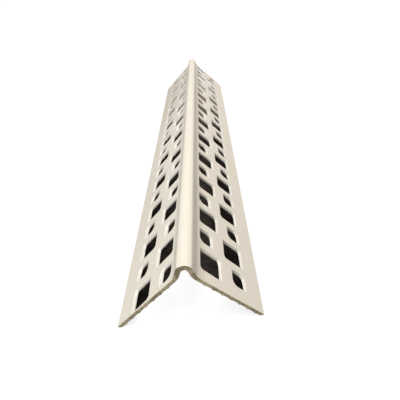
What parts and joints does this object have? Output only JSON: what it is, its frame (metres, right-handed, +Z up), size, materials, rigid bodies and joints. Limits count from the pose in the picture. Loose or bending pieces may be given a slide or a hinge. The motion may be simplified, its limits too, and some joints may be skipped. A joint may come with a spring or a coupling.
{
  "type": "corner guard moulding",
  "caption": "Angle-shaped plastic corner bead: two thin perforated wings at a right angle under a hollow rounded nose, with ribs along the underside of the wings.",
  "frame": {"origin": "on the floor under the middle of the bead, which lies nose up on its two free edges", "axes": "Y runs along the bead's length, X across it from wing to wing, Z up through the nose"},
  "size_m": [0.0354, 0.17, 0.0193],
  "materials": {
    "cream_plastic": "extruded cream plastic with a soft sheen, the same all through"
  },
  "bodies": {
    "root": {"corner_bead": "cream_plastic"}
  },
  "joints": []
}
